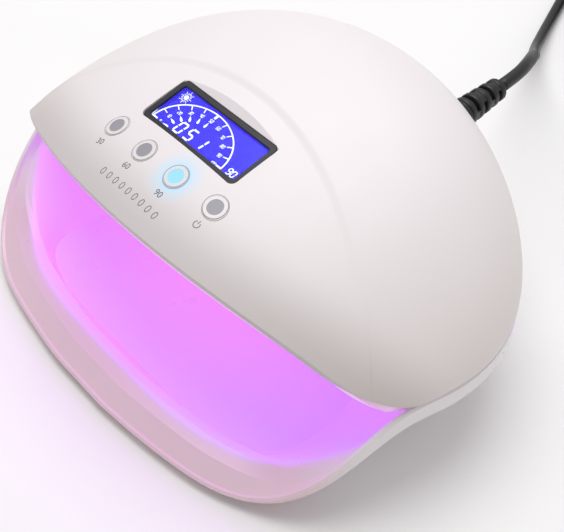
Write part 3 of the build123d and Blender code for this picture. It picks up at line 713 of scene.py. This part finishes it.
def smooth_surface(x, y, reach):
    """The same, from points round a hole or a small mark."""
    spots = []
    for angle in (45, 135, 225, 315):
        turn = math.radians(angle)
        spots.append(surface(x + reach * math.cos(turn), y + reach * math.sin(turn))[0])
    normal = (spots[2] - spots[0]).cross(spots[3] - spots[1]).normalized()
    middle = sum(spots, Vector()) / 4
    return middle, normal if normal.z > 0 else -normal


def ring_print(name, x, y, inner, outer, look):
    """A thin printed ring that follows the housing's surface."""
    count = 64
    spots = []
    for radius in (inner, outer):
        for step in range(count):
            angle = 2 * math.pi * step / count
            spots.append(surface(x + radius * math.cos(angle), y + radius * math.sin(angle) * FORESHORTEN))
    vertices = [spot + normal * PRINT[0] * MM for spot, normal in spots]
    vertices += [spot + normal * PRINT[1] * MM for spot, normal in spots]
    faces = []
    for step in range(count):
        after = (step + 1) % count
        a, b, c, d = step, after, count + after, count + step
        lift = 2 * count
        faces += [(d, c, b, a), (a + lift, b + lift, c + lift, d + lift)]
        faces += [(a, b, b + lift, a + lift), (c, d, d + lift, c + lift)]
    return piece(name, vertices, faces, look, "housing", smooth=False)


for key, (x, y) in KEY_PLACES.items():
    ring_print(f"key_ring_{key}", x, y, *KEY_RING, ring_look)


def text_piece(name, text, x, y, size, turn):
    """Raised figures set flat on the housing."""
    curve = bpy.data.curves.new(name, "FONT")
    curve.body = text
    curve.size = size * MM
    curve.align_x = "CENTER"
    curve.align_y = "CENTER"
    curve.extrude = (PRINT[1] - PRINT[0]) / 2 * MM
    curve.resolution_u = 4
    made = bpy.data.objects.new(name, curve)
    bpy.context.scene.collection.objects.link(made)
    bpy.context.view_layer.update()
    mesh = bpy.data.meshes.new_from_object(made)
    bpy.data.objects.remove(made)
    spot, normal = smooth_surface(x, y, 2.5)
    place = Sheet(spot, normal, turn).place
    mesh.transform(place)
    mesh.materials.clear()
    mesh.materials.append(print_look.material)
    result = bpy.data.objects.new(name, mesh)
    bpy.context.scene.collection.objects.link(result)
    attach(result, "housing")
    return result


LABELS = (("30", -29.7, -46.2, 9), ("60", -10.0, -47.8, 4), ("90", 10.1, -47.9, 0))
for text, x, y, turn in LABELS:
    text_piece(f"label_{text}", text, x, y, 3.6, turn)


def power_symbol():
    """An open ring with a bar in its gap."""
    spot, normal = smooth_surface(30.2, -46.2, 2.5)
    sheet = Sheet(spot, normal, -5)
    steps, gap = 28, 40
    for step in range(steps):
        angles = [math.radians(90 + gap + (360 - 2 * gap) * (step + side) / steps) for side in (0, 1)]
        band = [(1.45 * math.cos(a), 1.45 * math.sin(a)) for a in angles]
        band += [(1.15 * math.cos(a), 1.15 * math.sin(a)) for a in reversed(angles)]
        sheet.plate(band, *PRINT)
    sheet.plate(stroke((0, 0.3), (0, 1.75), 0.3), *PRINT)
    return sheet


symbol = power_symbol()
piece("label_power", symbol.vertices, symbol.faces, print_look, "housing", smooth=False)


def nail_row():
    """A row of nail-shaped outlines along the front edge, where the lettering was."""
    vertices, faces = [], []
    count = 9
    for index in range(count):
        x = -16.0 + 32.0 * index / (count - 1)
        spot, normal = smooth_surface(x, -53.7, 1.2)
        sheet = Sheet(spot, normal, -0.2 * x)
        steps = 24
        outer, inner = ellipse((0, 0), 0.95, 1.5, steps), ellipse((0, 0), 0.68, 1.23, steps)
        for step in range(steps):
            after = (step + 1) % steps
            sheet.plate([outer[step], outer[after], inner[after], inner[step]], *PRINT)
        shift = len(vertices)
        vertices += sheet.vertices
        faces += [[shift + i for i in face] for face in sheet.faces]
    return vertices, faces


row_vertices, row_faces = nail_row()
piece("nail_row_print", row_vertices, row_faces, print_look, "housing", smooth=False)


# ---- soft crease behind the front panel -----------------------------------------------------
CREASE_RADIUS = 165.0
CREASE_CENTRE = 4.7 - CREASE_RADIUS
CREASE_REACH = 4.0                  # how far the slope runs in front of the step
CREASE_HALF_ANGLE = 41.0
CREASE_STEPS = 80                   # on each side of the middle
SLOPE_PARTS = 8
SLOPE_DEPTH = Vector((0, 0, 0.0003))
SEAM_HEIGHT = 0.0435


def slope_section(low, foot, top):
    """Outline from the panel up to the dome's edge, closed under the surface."""
    rise = top.z - foot.z
    section = []
    for part in range(SLOPE_PARTS + 1):
        share = part / SLOPE_PARTS
        along = low.lerp(foot, share)
        lift = rise * share * share * (3 - 2 * share) if part < SLOPE_PARTS else rise
        section.append(Vector((along.x, along.y, along.z + lift + (0.00001 if part else -0.00005))))
    return section + [top, foot - SLOPE_DEPTH, low - SLOPE_DEPTH]


def crease_slope():
    """A thin fillet that leads from the front panel up to the dome behind it."""
    rows = []
    for step in range(2 * CREASE_STEPS + 1):
        angle = math.radians(90 + CREASE_HALF_ANGLE * (step / CREASE_STEPS - 1))
        ends = []
        for radius in (CREASE_RADIUS - CREASE_REACH, CREASE_RADIUS - 0.25, CREASE_RADIUS + 0.35):
            x, y = radius * math.cos(angle), CREASE_CENTRE + radius * math.sin(angle)
            ends.append(surface(x, y)[0])
        if None in ends:
            continue
        low, foot, top = ends
        if foot.z < SEAM_HEIGHT or top.z < SEAM_HEIGHT:
            continue
        top = top - (top - foot) * 0.04
        rows.append(slope_section(low, foot, top))
    return [spot for row in rows for spot in row], skin(len(rows), len(rows[0]))


slope_vertices, slope_faces = crease_slope()
slope = piece("crease_fillet", slope_vertices, slope_faces, shell, "housing")
slope.data.set_sharp_from_angle(angle=math.radians(40))

# ---- cord boot ------------------------------------------------------------------------------
BOOT_AXIS = Vector((-0.139, 0.990, 0)).normalized()
BOOT_ACROSS = Vector((0.990, 0.139, 0)).normalized()
BOOT_UP = BOOT_AXIS.cross(BOOT_ACROSS)
BOOT_BASE = Vector((0.028, 0.0801, 0.067))
BOOT_LENGTH = 0.025
RINGS = 5
RING_PITCH = BOOT_LENGTH / RINGS
RING_SHARE = 0.58                   # of the pitch; the rest is the gap
BOOT_CORE = ((-0.012, 0.0058), (0.0002, 0.0058), (0.001, 0.0040), (0.0245, 0.0033), (0.025, 0.0029))
WEB_SPREAD = math.radians(34)
WEB_ROOT = 0.0030                   # radius at which a web starts, inside the core


def boot_point(along, radius, angle):
    around = BOOT_ACROSS * math.cos(angle) + BOOT_UP * math.sin(angle)
    return BOOT_BASE + BOOT_AXIS * along + around * radius


def lathe(profile, sides=48):
    """Closed solid of (along, radius) points turned round the boot's axis."""
    vertices = []
    for along, radius in profile:
        vertices += [boot_point(along, radius, 2 * math.pi * side / sides) for side in range(sides)]
    return vertices, skin(len(profile), sides, reverse=True)


def collar(start, radius):
    """One ring of the boot, with rounded edges."""
    end = start + RING_PITCH * RING_SHARE
    return lathe([
        (start, radius - 0.0008),
        (start + 0.0003, radius - 0.0001),
        (start + 0.0006, radius),
        (end - 0.0006, radius),
        (end - 0.0002, radius - 0.0002),
        (end, radius - 0.0009),
    ])


def web(end, radius, middle):
    """A block that joins a ring, which ends here, to the next one."""
    vertices = []
    for along in (end - 0.0006, end + RING_PITCH * (1 - RING_SHARE) + 0.0008):
        for angle in (middle - WEB_SPREAD, middle, middle + WEB_SPREAD):
            vertices += [boot_point(along, reach, angle) for reach in (WEB_ROOT, radius - 0.0004)]
    loop = (0, 2, 4, 5, 3, 1)
    faces = [loop, tuple(6 + i for i in reversed(loop))]
    for index in range(6):
        a, b = loop[index], loop[(index + 1) % 6]
        faces.append((b, a, a + 6, b + 6))
    return vertices, faces


def boot():
    """Round core with stepped collars, joined by webs that stagger from gap to gap."""
    parts = [lathe(BOOT_CORE)]
    for ring in range(RINGS):
        start, radius = RING_PITCH * ring + 0.0004, 0.0059 - 0.0003 * ring
        parts.append(collar(start, radius))
        if ring < RINGS - 1:
            for side in (0, 1):
                middle = math.radians(90 * (ring % 2) + 180 * side + 20)
                parts.append(web(start + RING_PITCH * RING_SHARE, radius, middle))
    vertices, faces = [], []
    for part_vertices, part_faces in parts:
        shift = len(vertices)
        vertices += part_vertices
        faces += [tuple(shift + i for i in face) for face in part_faces]
    return vertices, faces


boot_vertices, boot_faces = boot()
cord_boot = piece("cord_boot", boot_vertices, boot_faces, cord_look, "housing")
cord_boot.data.set_sharp_from_angle(angle=math.radians(35))
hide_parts("strain_relief")
